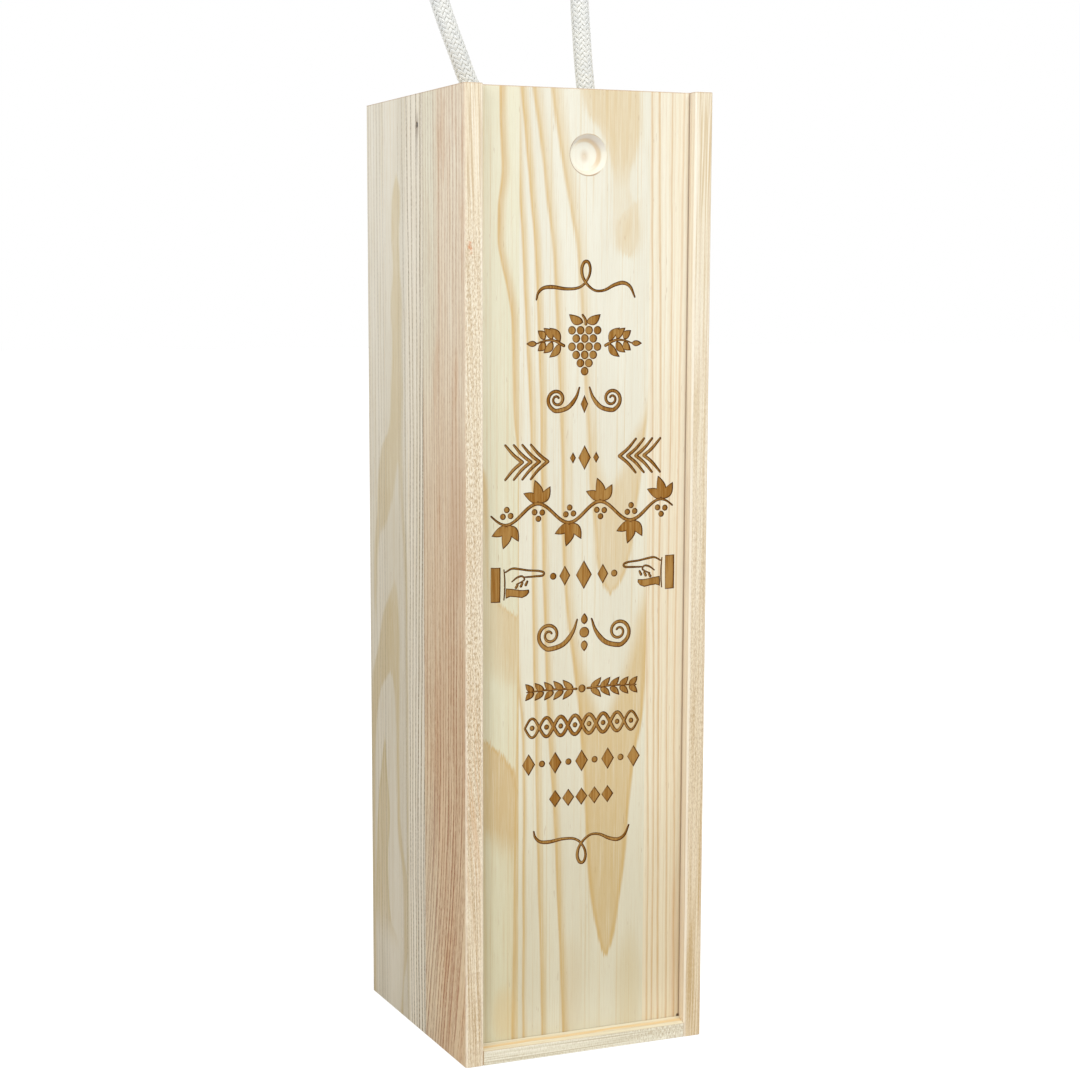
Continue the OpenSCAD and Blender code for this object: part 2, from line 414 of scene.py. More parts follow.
def grey(g, kind, level, strength=None):
    """A shader of one grey level, with a strength where it has one."""
    node = g.new(kind)
    g.put(node.inputs[0], (level, level, level, 1))
    g.put(node.inputs[1], strength)
    return Value(g, node.outputs[0])


def two_ways(g, lighting, shown, out_kind):
    """One shader lights the object, and the camera, a mirror or glass sees the other."""
    path = g.new("LightPath")
    seen = g.most(*(Value(g, path.outputs["Is %s Ray" % k]) for k in ("Camera", "Glossy", "Transmission")))
    pick = g.new("MixShader")
    for socket, value in zip(pick.inputs, (seen, lighting, shown)):
        g.put(socket, value)
    g.put(g.new(out_kind).inputs[0], Value(g, pick.outputs[0]))
    return g.owner


def floor_material():
    """To the camera white with a faint shadow, and to the object a pale floor."""
    g = Graph(bpy.data.materials.new("studio_floor"))
    both = g.new("AddShader")
    g.put(both.inputs[0], grey(g, "BsdfDiffuse", 0.4))
    g.put(both.inputs[1], grey(g, "Emission", 1.0, FLOOR_GLOW))
    return two_ways(g, grey(g, "BsdfDiffuse", 0.8), Value(g, both.outputs[0]), "OutputMaterial")


def studio():
    """A pale floor, a white world and two large soft lamps."""
    size = 12.0
    corners = [(-size, -size, 0), (size, -size, 0), (size, size, 0), (-size, size, 0)]
    floor = new_piece("studio_floor", corners, [(0, 1, 2, 3)], [floor_material()])
    floor.location.z = -0.0002

    g = Graph(bpy.data.worlds.new("studio"))
    soft, white = (grey(g, "Background", 1.0, strength) for strength in (WORLD_LIGHT, 1.0))
    scene.world = two_ways(g, soft, white, "OutputWorld")

    for name, place, size, power in LAMPS:
        lamp = bpy.data.lights.new(name, "AREA")
        lamp.size = size
        lamp.energy = power
        light = bpy.data.objects.new(name, lamp)
        light.location = place
        light.rotation_euler = (AIM - Vector(place)).to_track_quat("-Z", "Y").to_euler()
        scene.collection.objects.link(light)


studio()

# --- Pine -------------------------------------------------------------------------

# Two tones of each kind of board, then the tones of lines that they share.
PALE = ((238, 235, 218), (232, 228, 210))
PINK = ((233, 220, 198), (225, 209, 184))
COOL = ((238, 232, 216), (229, 222, 204))
HONEY = (216, 184, 130)
RUST = (196, 152, 104)
SAP = (250, 246, 232)
SCORCHED_Z = 349.55                     # above this the saw has darkened the arrises


def ring_lines(g, across, along, pitch, wobble, seed):
    """Growth rings cut on the quarter: each darkens slowly and ends sharply."""
    drift = g.noise(along * 0.012, across * 0.02, seed) - 0.5
    crowd = g.noise(across * 0.2, seed + 5.0, along * 0.002, 1.0) - 0.5
    ring = (across + drift * (2 * wobble) + crowd * (1.2 * pitch)) / pitch + 100.0
    part = g.math("FRACT", ring)
    which = g.chance(g.math("FLOOR", ring) + seed)
    dark = g.window(part, 0.4, 0.84, 0.87, 0.98)
    return dark * (which * 0.5 + 0.5)


def saw_marks(g, place, face, flat, v, length, wave, seed, base, cover, nap, teeth, comb, shade, tone,
              lean=0.0, streaks=0.0, torn=0.0):
    """The rough sawn face that looks forward: combed at the head, napped and torn below it.

    flat is the place across the face. The other arguments are strengths, apart from the colours.
    """
    t = v / length
    fuzz = g.noise(place["x"] * 2.9, place["y"] * 2.9, place["z"] * 0.7, 2.0, 0.75)
    lines = g.noise((flat + v * lean * 0.25) * comb, v * 0.02, seed + 7.0, 1.0, 0.6)
    slant = g.noise((flat + v * lean) * 1.5 + wave * 3.0, v * 0.008, seed, 1.0, 0.6)
    combed, calm = g.smooth(t, 0.83, 0.92), g.smooth(t, 0.32, 0.12)
    streak = g.smooth(slant, 0.55, 0.62) * (g.window(t, 0.12, 0.28, 0.37, 0.47) * torn + streaks)
    rough = g.smooth(t, 0.85, 0.35) * (nap[1] - nap[0]) + nap[0]
    rough = rough * (1.0 - combed * 0.8) * (1.0 - streak * 0.4) * (1.0 - calm * 0.55)
    bite = (combed * 0.6 + calm * 0.9 + 1.0) * teeth
    g.lay(face * cover, base)
    g.lay(face * g.smooth(lines, 0.5, 0.62) * bite, shade)
    g.lay(face * g.smooth(lines, 0.46, 0.36) * bite * 0.7, (254, 248, 232))
    g.lay(face * g.smooth(fuzz, 0.5, 0.58) * rough, (176, 148, 110))
    g.lay(face * g.smooth(fuzz, 0.47, 0.39) * rough, (255, 250, 236))
    g.lay(face * streak, tone)
    return face * fuzz * 1.6


def pine(name, along="z", across="x", through="y", tones=PALE, late=HONEY, vein=None,
         accent=(216, 180, 114), rings=(), hairs=(), arms=(), flames=(), bright=None, blush=None,
         bend=None, lean=0.6, feather=9.0, fibre=1.0, crisp=None, grit=0.0, dashes=0.3, low=None,
         dusk=(0.0, 0.9), sawn=None, sawn_low=0.0, length=350.0, seed=0.0, extra=None):
    """Pine whose features are given one by one, in millimetres across and along the grain.

    late, vein and accent are the tones of wide lines, thin lines and their sharp edges. bright is a
    pale band between hairs, and blush the tone of soft patches. bend moves the grain sideways along
    its length, and feather is how ragged a flame's tip is. crisp is the strength of short clear
    fibres at the head and the foot, and grit breaks the thin lines up. low is a painted shade: the
    tone that darkens the wood towards its foot, over the span dusk, and by the share sawn_low on a
    sawn face.
    """
    g = Graph(bpy.data.materials.new(name))
    place = dict(zip("xyz", g.place()))
    normal = dict(zip("xyz", g.normal()))
    u, v, w = place[across], place[along], place[through]
    t = v / length
    if bend is not None:
        u = u - g.curve(v, bend, length)
    vein = vein or late
    wave = g.noise(v * 0.03, u * 0.05 + seed, w * 0.02) - 0.5
    u2 = u + w * lean + wave * 1.4
    base_u = u + wave * 0.9
    veil = g.noise(u, v * 0.007, seed + 30.0, 2.0, 0.55)
    streak = g.noise(u * 2.4, v * 0.035, w * 2.4 + seed, 3.0, 0.6)
    hair = g.noise(u * 6.0 + seed, v * 0.12, w * 6.0, 2.0, 0.6)
    cloud = g.noise(u * 0.5, v * 0.05, seed + 9.0, 3.0)
    tip_v = v + (streak - 0.5) * feather
    patch = g.noise(u * 0.06, v * 0.008, seed + 3.0, 3.0)
    g.colour = g.mix(g.smooth(patch, 0.35, 0.65), *tones)
    power = 1.0 if crisp is None else g.smooth(t, 0.62, 0.2) * (crisp[1] - crisp[0]) + crisp[0]
    if blush is not None:
        warm = g.noise(u * 0.11, v * 0.017, seed + 60.0, 3.0, 0.6)
        g.lay(g.smooth(warm, 0.5, 0.66) * blush[1], blush[0])
    if bright is not None:
        lo, hi, strength = bright
        band = g.window(base_u, lo - 1.0, lo + 1.0, hi - 2.0, hi + 2.0)
        g.lay(band * strength, (254, 246, 228))

    def beyond(line):
        """How far to the right of a placed line."""
        return base_u - g.curve(v, line, length)

    def between(lines):
        """How far inside the space between two placed lines, with ragged ends."""
        left, right = (g.curve(tip_v, line, length) for line in lines)
        return g.math("MINIMUM", base_u - left, right - base_u)

    fields, edges, threads = [], [], []
    for lo, hi, pitch, wobble, strength in rings:
        zone = g.window(base_u, lo - 1.2, lo + 1.2, hi - 1.2, hi + 1.2)
        threads.append(ring_lines(g, u2, v, pitch, wobble, seed + lo * 0.37) * zone * strength * power)
    for line, width, strength in hairs:
        threads.append(g.window(beyond(line), -width, 0.0, 0.1, 0.45) * strength)
    for line, width, fade, strength in arms:
        d = beyond(line)
        fields.append(g.window(d, -0.2, 0.35, width * 0.2, width + fade) * strength)
        edges.append(g.window(d, -0.6, 0.0, 0.1, 0.9))
    for outer, inner, soft, strength, span in flames:
        inside = between(outer)
        mask = g.smooth(inside, -soft[0], soft[0] * 1.4)
        rim = g.window(inside, -0.9, 0.1, 0.5, 2.2)
        if inner is not None:
            mask = mask * g.smooth(between(inner), soft[1], -soft[1])
        if span:
            fade = g.smooth(v, span[0], span[1])
            mask, rim = mask * fade, rim * fade
        fields.append(mask * (0.78 + 0.22 * rim) * strength)
        edges.append(rim * mask * (0.75 * strength if soft[0] < 1.0 else 0.25))
    shade = None
    if fields:
        shade = g.math("MINIMUM", g.most(*fields) * (0.62 + cloud * 0.5 + streak * 0.3), 1.0)
        g.lay(shade, late)
    if edges:
        g.lay(g.most(*edges) * 0.6, accent)
    if threads:
        thread = g.most(*threads) * (0.55 + cloud * 0.5 + hair * 0.4)
        if grit:
            beads = g.noise(u * 2.4, v * 0.85, seed + 80.0, 1.0)
            thread = thread * (g.smooth(beads, 0.35, 0.65) * grit + (1.0 - grit * 0.4))
        g.lay(g.math("MINIMUM", thread, 1.0), vein)
        shade = thread if shade is None else g.most(shade, thread)
    g.lay(g.smooth(veil, 0.53, 0.68) * 0.3, late)
    g.lay(g.smooth(streak, 0.5, 0.76) * (0.34 * fibre), late)
    g.lay(g.smooth(streak, 0.5, 0.24) * (0.42 * fibre), SAP)
    g.lay(g.smooth(hair, 0.54, 0.72) * (0.24 * fibre), RUST)
    g.lay(g.smooth(hair, 0.46, 0.28) * (0.30 * fibre), SAP)
    if crisp is not None:
        fine = g.noise(u * 1.15, v * 0.016, seed + 40.0, 2.0, 0.6)
        short = g.noise(u * 1.25, v * 0.28, seed + 50.0, 2.0, 0.7)
        mark = fine * 0.62 + short * 0.38
        g.lay(g.smooth(mark, 0.52, 0.6) * power * 0.45, vein)
        g.lay(g.smooth(mark, 0.48, 0.4) * power * 0.6, (250, 238, 214))
    tick = g.noise(u * 1.7, v * 0.16, w * 1.7 + seed + 20.0, 1.0)
    g.lay(g.smooth(tick, 0.735, 0.79) * dashes, (172, 128, 86))
    pores = g.noise(u * 3.0, w * 3.0, v * 3.0)
    cut_end = g.mix(g.smooth(pores, 0.45, 0.7) * 0.5, (226, 200, 158), (198, 164, 118))
    height = streak * 0.5 + hair * 0.5
    if shade is not None:
        cut_end = g.mix(g.math("MINIMUM", shade, 1.0) * 0.5, cut_end, (190, 146, 98))
        height = height + shade * 0.25
    g.lay(g.smooth(g.math("ABSOLUTE", normal[along]), 0.55, 0.85), cut_end)
    if sawn is not None:
        face = g.smooth(normal["y"], -0.6, -0.85)
        height = height + saw_marks(g, place, face, place[across] + w, v, length, wave, seed, **sawn)
    # Painted shade: the wood darkens towards its foot by the tone low.
    if low is not None:
        share = g.smooth(t, dusk[1], dusk[0])
        if sawn is not None:
            share = share * (1.0 - face * (1.0 - sawn_low))
        if bright is not None:
            share = share * (1.0 - band * 0.35)
        g.lay(share, low, "MULTIPLY")
    if extra is not None:
        extra(g, normal, **place)
    g.lay(g.smooth(place["z"], SCORCHED_Z, SCORCHED_Z + 0.2) * 0.32, (164, 116, 74))
    return g.finish(0.62, height, 0.00012, 0.28)


FLECK_X, FLECK_Z = -46.0, 294.5         # a fleck of resin on the left front edge


def front_stave(g, normal, x, y, z):
    """Painted shade on the groove walls, painted light on the arrises and the right stave's inner wall,
    and the left stave's resin fleck and faded patches.
    """
    side = g.math("ABSOLUTE", x)
    # Painted shade on the groove walls.
    groove = g.smooth(side, 41.02, 41.2) * g.window(y, -46.0, -45.5, -41.7, -41.2)
    groove = groove * g.smooth(side, 45.5, 45.0)
    g.lay(groove * 0.7, (112, 84, 56))
    rough = g.noise(x * 0.9, z * 0.7, 3.0) * 3.0
    dx, dz = x - FLECK_X, z - FLECK_Z
    fleck = g.math("SQRT", dx * dx + dz * dz * 0.3) + rough
    g.lay(g.smooth(fleck, 2.7, 1.7) * 0.8 * g.smooth(y, -49.6, -49.9), (210, 130, 74))
    # Painted highlights on the left stave's outer front arris and the right stave's inner front arris.
    front = g.smooth(y, -49.3, -49.6)
    corner = g.smooth(x, -47.1, -47.6) * (g.smooth(z, 170.0, 120.0) * 0.25 + 0.08)
    inner = g.window(x, 40.0, 41.0, 41.5, 42.0) * 0.5
    g.lay(front * g.most(corner, inner), (255, 249, 234))
    # Painted light on the chamfer of the left stave's inner lip.
    lip = g.window(x, -42.6, -41.6, -40.8, -40.0) * g.smooth(y, -49.2, -49.4)
    g.lay(lip * 0.35, (255, 250, 234))
    left = g.smooth(x, -47.4, -47.8)
    high = g.smooth(y, -32.0, -38.0) * g.window(z, 160.0, 182.0, 208.0, 236.0)
    low = g.window(y, -33.0, -29.0, -23.0, -19.0) * g.window(z, 45.0, 80.0, 130.0, 165.0)
    g.lay(left * g.most(high * 0.24, low * 0.14), (170, 112, 66))
    pale = g.smooth(z, 225.0, 265.0) * 0.19 + g.smooth(z, 110.0, 80.0) * 0.08 + 0.03
    g.lay(left * g.smooth(y, -27.0, -18.0) * pale, (221, 238, 219))
    # Painted light on the right stave's inner wall beside the lid.
    wall = g.smooth(normal["x"], -0.5, -0.9) * g.smooth(x, 40.0, 40.9) * g.smooth(y, -45.3, -45.8)
    g.lay(wall * 0.3, (255, 250, 236))


RECESS_X, RECESS_Z = 1.1, 327.2
# Soft stains low on the lid, and in the last row a dot of painted shade in the gap at its lower
# right corner: middle across and up, half width, half height, share, colour.
STAINS_AND_CORNER_SHADE = [
    (-31.0, 17.0, 6.5, 13.0, 0.34, (222, 186, 120)), (-4.0, 24.0, 6.0, 24.0, 0.26, (206, 180, 134)),
    (19.5, 22.0, 7.0, 26.0, 0.30, (210, 186, 130)), (38.6, 34.0, 2.2, 46.0, 0.22, (206, 150, 96)),
    # Painted shade: a dark dot in the gap at the lid's lower right corner.
    (40.6, 7.3, 0.8, 0.9, 0.95, (44, 32, 20)),
]


def lid_extras(g, normal, x, y, z):
    """The drill's mark in the pale finger recess with painted shade on its walls and mouth, and stains,
    painted shade and a painted light along the lid's edges and low on it.
    """
    dx, dz = x - RECESS_X, z - RECESS_Z
    r = g.math("SQRT", dx * dx + dz * dz)
    deep = g.smooth(y, -45.4, -45.1)
    # Painted shade: a tan ring at the foot of the recess wall, on its right and top.
    foot = deep * g.window(r, 4.3, 5.0, 5.6, 6.1) * g.smooth(dx + dz * 0.8, -3.0, 4.0)
    # Painted shade on the recess's upper wall.
    wall = deep * g.smooth(r, 5.3, 5.9) * g.smooth(dz, 0.5, 4.5)
    mark = deep * g.smooth(g.math("SQRT", dx * dx + (dz + 0.3) * (dz + 0.3) * 0.5), 2.3, 0.3)
    # Painted shade along the mouth's left and lower edge.
    mouth = g.window(r, 6.9, 7.1, 7.4, 7.55) * g.smooth(dx + dz * 0.7, 3.0, -3.0)
    g.lay(deep * 0.8, (249, 247, 234))
    g.lay(foot * 0.5, (222, 182, 124))
    g.lay(wall * 0.5, (214, 204, 200))
    g.lay(mark * 0.4, (206, 172, 124))
    g.lay(mouth * 0.6, (150, 112, 76))
    # Painted shadow of the left lip along the lid's left edge, strongest low down.
    left = g.smooth(x, -34.6, -38.4) * (0.36 - g.smooth(z, 40.0, 330.0) * 0.27)
    g.lay(left, (176, 166, 128))
    # Painted light beside the right edge, against the shade of the right stave.
    g.lay(g.smooth(x, 37.0, 39.8) * g.smooth(z, 50.0, 190.0) * 0.3, (255, 250, 234))
    for at_x, at_z, half_x, half_z, share, tone in STAINS_AND_CORNER_SHADE:
        off_x, off_z = (x - at_x) / half_x, (z - at_z) / half_z
        stain_and_shade = g.smooth(off_x * off_x + off_z * off_z, 1.0, 0.0)
        g.lay(stain_and_shade * share, tone)
    # Painted shade of the gap at the lid's right edge.
    g.lay(g.smooth(x, 40.5, 40.7) * 0.5, (158, 108, 62))
    # Painted shade in a band low on the lid.
    shade_band = g.window(z, 8.0, 30.0, 60.0, 110.0)
    g.lay(shade_band * 0.12, (148, 124, 70))


# Which way the boards of the side walls and the level boards lie.
SIDE = {"across": "y", "through": "x"}
LEVEL = {"along": "x", "across": "y", "through": "z", "length": 100.0}

# Curves on the lid's face: place along the grain, then across.
ARM_1 = [
    (0, -15.8), (10, -15.9), (61, -17.3), (92, -18.3), (124, -18.9), (165, -20), (209, -20.3), (232, -21),
    (280, -23.6), (296, -24.2), (312, -25.4), (350, -27)]
ARM_2 = [
    (0, -7.2), (9, -7.4), (60, -9.8), (90, -11.2), (123, -13.7), (160, -15.3), (209, -16.7), (232, -17),
    (280, -18.8), (296, -19.6), (309, -20.9), (323, -22.2), (336, -23.4), (350, -25)]
ARM_0B = [(0, -23.6), (69, -23.7), (90, -23.5), (120, -24), (150, -26.5), (350, -30)]
V3_LEFT = [
    (0, 20), (26, 16), (33.5, 10.3), (36, 8.6), (44, 6.2), (62, 3.1), (84, 1.5), (101, 0.4), (122, -1.2),
    (140, -3.4), (157, -5.9), (183, -8.2), (209, -8.8), (232, -9.5), (280, -11.8), (296, -13), (309, -15),
    (323, -16.6), (337, -18.6), (350, -20.7)]
V3_RIGHT = [
    (0, 0), (26, 4), (33.5, 10.2), (39, 12.7), (55, 15.5), (74, 17.9), (87, 18.9), (109, 21.5),
    (125, 24.6), (142, 25.6), (163, 27), (350, 40)]
V3_IN_LEFT = [
    (0, 30), (112, 18), (121, 9), (135, 3), (150, -1.5), (170, -5), (200, -6.4), (232, -7.3), (280, -9.6),
    (309, -12.7), (337, -16.4), (350, -18.4)]
V3_IN_RIGHT = [(0, -10), (112, 0), (121, 8), (135, 14.5), (148, 19), (160, 22), (175, 26), (350, 40)]
V2_LEFT = [
    (0, 20), (164, 16), (170, 10.4), (179, 6.1), (195, 4.2), (213, 2), (232, 1.1), (260, -1), (280, -2.1),
    (296, -3.6), (309, -6.3), (323, -9.1), (337, -11.6), (350, -13.6)]
V2_RIGHT = [
    (0, 0), (164, 4), (170, 10.8), (175, 15.1), (185, 19), (197, 20.6), (212, 22.7), (231, 25), (250, 28),
    (350, 40)]
V2_IN_LEFT = [
    (0, 30), (199, 18), (208, 10), (217, 6), (232, 3.7), (260, 1.7), (280, 0.6), (296, -0.7), (309, -2.9),
    (323, -5.4), (337, -7.8), (350, -9.8)]
V2_IN_RIGHT = [(0, -10), (199, 2), (208, 10), (217, 16), (227, 20), (240, 26), (350, 40)]
TOP_LEFT = [
    (0, 30), (286, 20), (294, 14.5), (300, 12.2), (308, 11.4), (316, 11.5), (327, 9.6), (336, 5.6),
    (342, 0.6), (350, -1.8)]
TOP_RIGHT = [
    (0, 0), (286, 8), (294, 15), (298, 16), (303, 18.2), (310, 18.5), (318, 17), (327, 19.4), (338, 21.3),
    (350, 20.7)]
BLOT_LEFT = [
    (0, 30), (288, 24), (293, 15), (297, 12.4), (302, 12), (306, 14), (311, 20), (316, 30), (350, 40)]
BLOT_RIGHT = [
    (0, 10), (288, 13), (292, 18), (297, 20.5), (303, 21), (307, 20.5), (312, 20), (316, 15), (350, 0)]
LID_CENTRE = pine(
    "pine_lid_centre", seed=1.0, lean=0.0, fibre=0.6, late=(218, 189, 132), low=(240, 236, 224),
    arms=[(ARM_1, 1.6, 1.5, 0.75), (ARM_2, 1.8, 1.8, 0.8), (ARM_0B, 1.2, 1.0, 0.55)],
    flames=[((V3_LEFT, V3_RIGHT), (V3_IN_LEFT, V3_IN_RIGHT), (0.55, 3.4), 0.92, None),
            ((V2_LEFT, V2_RIGHT), (V2_IN_LEFT, V2_IN_RIGHT), (0.7, 3.0), 0.68, None),
            ((TOP_LEFT, TOP_RIGHT), None, (2.0, 1.6), 0.25, None),
            ((TOP_LEFT, TOP_RIGHT), None, (2.6, 1.6), 0.72, (307, 326)),
            ((BLOT_LEFT, BLOT_RIGHT), None, (4.5, 1.0), 0.7, None)],
    extra=lid_extras)

LEFT_ARM = [
    (0, -28), (215, -25.5), (235, -27.3), (270, -28.2), (282, -30.4), (290, -32.4), (298, -33.7),
    (308, -33.6), (322, -32.1), (333, -32.6), (350, -32.9)]
PATCH_HIGH = [
    (0, -24), (162, -24), (165, -27), (169, -32.3), (178, -36.5), (215, -38.2), (225, -44), (350, -60)]
PATCH_LOW = [
    (0, -24), (98, -24), (101, -25.6), (106, -26.4), (112, -30.1), (116, -34), (119, -37.5), (124, -44),
    (350, -60)]
OUTSIDE = [(0, -60), (350, -60)]
PATCH_HIGH_IN = [(max(0, v - 26), u) for v, u in PATCH_HIGH]
PATCH_LOW_IN = [(max(0, v - 34), u) for v, u in PATCH_LOW]
LID_LEFT = pine(
    "pine_lid_left", seed=2.0, lean=0.0, fibre=0.7, tones=((236, 232, 206), (229, 225, 198)),
    low=(242, 240, 230), arms=[(LEFT_ARM, 2.2, 1.8, 0.75)],
    flames=[((OUTSIDE, PATCH_HIGH), (OUTSIDE, PATCH_HIGH_IN), (0.9, 9.0), 0.7, None),
            ((OUTSIDE, PATCH_LOW), (OUTSIDE, PATCH_LOW_IN), (0.8, 9.0), 0.95, None)],
    extra=lid_extras)


def thin_line(width, strength, *across, at=(0, 62, 142, 235, 320, 350)):
    """A thin line given by its places across the grain, at fixed places along it."""
    return list(zip(at, across)), width, strength


LID_RIGHT = pine(
    "pine_lid_right", seed=3.0, lean=0.0, fibre=0.7, tones=((243, 237, 216), (240, 232, 209)),
    late=(226, 201, 156), vein=(212, 174, 124), low=(245, 238, 225), feather=4.0,
    rings=[(25.5, 46, 1.7, 0.5, 0.22)],
    hairs=[thin_line(0.9, 0.6, 27.4, 27.4, 26.1, 24.5, 22, at=(0, 62, 142, 235, 350)),
           thin_line(0.9, 0.65, 29.5, 29.5, 28.9, 27.4, 26.4, 26),
           thin_line(1.0, 0.7, 32.2, 31.6, 31, 30.7, 29.4, 29),
           thin_line(0.9, 0.6, 35.6, 35.2, 34.5, 34.8, 34.3, 34.2),
           thin_line(1.0, 0.6, 38.9, 38.4, 37.8, 38.4, 38.8, 39)],
    extra=lid_extras)

# Curves on the left side's rear stave.
A_LEFT = [
    (0, 51), (98, 50), (128, 48.5), (142, 43), (164, 45), (182, 44), (196, 41), (206, 40), (219, 36),
    (231, 26), (241, 25), (262, 23), (275, 24), (288, 21.5), (301, 23), (313, 22.5), (322, 18), (329, 12),
    (350, 5)]
A_RIGHT = [
    (0, 8), (168, 8), (188, 10), (202, 12), (229, 13), (242, 12), (262, 13), (275, 12.4), (288, 14),
    (300, 15), (313, 13.5), (322, 17), (329, 24), (350, 30)]
B_LEFT = [
    (0, 46), (142, 44.5), (164, 42), (182, 40), (193, 30), (204, 22.5), (215, 18), (221, 12), (350, 5)]
B_RIGHT = [(0, 9.5), (168, 11), (182, 12.2), (195, 14), (208, 15.5), (215, 17), (221, 23), (350, 30)]
C_LEFT = [(0, 49), (98, 49), (129, 47), (142, 41), (156, 35), (163, 29), (170, 22), (176, 14), (350, 5)]
C_RIGHT = [
    (0, 15), (7, 15), (27, 10), (52, 9), (63, 13), (80, 17.5), (104, 18), (140, 17), (160, 18), (170, 21),
    (176, 28), (350, 30)]
D_LEFT = [(0, 46), (86, 46), (111, 43.5), (124, 39), (133, 29), (139, 20), (350, 5)]
D_RIGHT = [
    (0, 18), (27, 14), (56, 15), (73, 20), (91, 21), (115, 21.5), (128, 23), (133, 26), (139, 34),
    (350, 40)]
E_LEFT = [(0, 47), (36, 46.5), (55, 45), (74, 43), (94, 38.5), (108, 33.5), (114, 26), (350, 5)]
E_RIGHT = [
    (0, 24), (20, 22), (27, 20), (34, 28), (58, 31.5), (77, 29), (95, 32), (108, 34), (114, 40), (350, 45)]


BRAD_Y, BRAD_Z = -4.4, 339.0


def brad_tear_and_foot_shade(g, normal, x, y, z):
    """Torn, stained wood round the sunk brad, and painted shade at the rear foot."""
    dy, dz = y - BRAD_Y, z - BRAD_Z
    outside = g.smooth(g.math("ABSOLUTE", x), 46.5, 47.5)
    rough = g.noise(y * 1.2, z * 0.5, 4.0)
    near = g.math("SQRT", dy * dy + dz * dz * 0.12) + rough * 1.4
    trail = g.smooth(g.math("ABSOLUTE", dy + rough * 1.5 - 1.0), 1.3, 0.4)
    g.lay(outside * trail * g.window(dz, -22.0, -4.0, -1.5, 0.5) * 0.45, (150, 138, 126))
    # Painted shade at the rear foot, where the side meets the floor.
    g.lay(outside * g.smooth(y, 48.9, 49.4) * g.smooth(z, 7.0, 5.0) * 0.7, (84, 66, 50))
    g.lay(outside * g.smooth(near, 3.0, 1.2) * 0.5, (134, 116, 100))


LEFT_REAR = pine(
    "pine_left_rear", **SIDE, seed=4.0, lean=0.5, tones=COOL, late=(212, 191, 142),
    vein=(120, 98, 66), accent=(206, 194, 148), low=(222, 218, 211), dusk=(0.3, 1.0),
    flames=[((A_RIGHT, A_LEFT), (B_RIGHT, B_LEFT), (1.6, 1.8), 0.7, None),
            ((C_RIGHT, C_LEFT), (D_RIGHT, D_LEFT), (1.5, 1.2), 0.85, (184, 158)),
            ((E_RIGHT, E_LEFT), None, (0.8, 1.0), 0.8, (22, 40))],
    rings=[(30, 52, 3.1, 0.6, 0.3), (-11, 17, 1.5, 0.25, 0.35)],
    hairs=[thin_line(1.2, 0.85, -8.2, -8.0, -7.7, -9.5, -16, at=(0, 20, 62, 110, 350)),
           thin_line(1.2, 0.95, -5.3, -5.1, -4.7, -6.8, -8.9, -11, at=(0, 20, 62, 142, 235, 350)),
           thin_line(1.2, 0.95, -2.1, -2.0, -1.5, -3.6, -5.9, -7.1, -7.5,
                     at=(0, 20, 62, 142, 235, 320, 350)),
           thin_line(1.3, 0.65, 0.2, 0.7, -0.5, -2.9, -3.0, -3),
           thin_line(1.4, 0.6, 3.1, 3.9, 2.7, 1.3, 2.1, 2.4),
           thin_line(1.3, 0.65, 5.6, 6.1, 5.8, 4.3, 6.3, 7),
           thin_line(1.2, 0.4, 10, 10.2, 9.7, 11.4, 12, at=(0, 142, 235, 320, 350)),
           thin_line(0.5, 0.5, -9.4, -9.4, at=(0, 350))],
    bright=(-9.5, 8.0, 0.7), grit=0.7, extra=brad_tear_and_foot_shade)
LEFT_FRONT = pine(
    "pine_left_front", **SIDE, seed=5.0, lean=0.8, fibre=1.1,
    tones=((242, 231, 208), (235, 220, 195)), late=(193, 156, 114), vein=(156, 90, 36),
    low=(226, 211, 191), dusk=(0.25, 1.0), rings=[(-52, -8, 2.65, 0.9, 0.95), (-52, -8, 1.7, 0.6, 0.3)],
    crisp=(0.5, 1.15), blush=((216, 174, 134), 0.4), grit=0.5, dashes=0.35,
    bend=[(0, 15), (25, 10), (55, 4.6), (90, 1.0), (130, 0), (350, 0)],
    sawn=dict(base=(244, 232, 204), cover=0.8, shade=(206, 182, 146), tone=(216, 174, 126),
              nap=(0.55, 0.72), teeth=0.5, comb=1.6, lean=0.115, streaks=0.08, torn=0.4),
    sawn_low=0.38, extra=front_stave)
RIGHT_FRONT = pine(
    "pine_right_front", **SIDE, seed=6.0, lean=1.5,
    tones=((243, 232, 207), (237, 224, 198)), late=(206, 160, 112), vein=(182, 136, 88),
    low=(241, 232, 218), rings=[(-60, 60, 2.6, 1.0, 0.62)],
    sawn=dict(base=(246, 237, 212), cover=0.4, shade=(208, 182, 134), tone=(212, 180, 130),
              nap=(0.1, 0.4), teeth=0.4, comb=1.7, lean=-0.07, streaks=0.06),
    sawn_low=1.0, extra=front_stave)


def long_flames(centre, tips, spread, flat):
    """Nested arches along the grain: tips gives where each one starts and how wide it gets."""
    def middle(at):
        return centre + spread * sin(at / 71.0 + flat)

    made = []
    for tip, half, reach in tips:
        left, right = [], []
        for k in range(13):
            t = (k / 12) ** 2
            at = tip - t * reach
            if at < 0:
                break
            h = half * (t ** 0.5) * (1 + 0.15 * sin(3 * t + tip))
            left.append((at, middle(at) - h))
            right.append((at, middle(at) + h))
        if tip + 8 < 350:
            left.append((tip + 8, middle(tip) + 8))
            right.append((tip + 8, middle(tip) - 8))
        made.append((left, right))
    return made


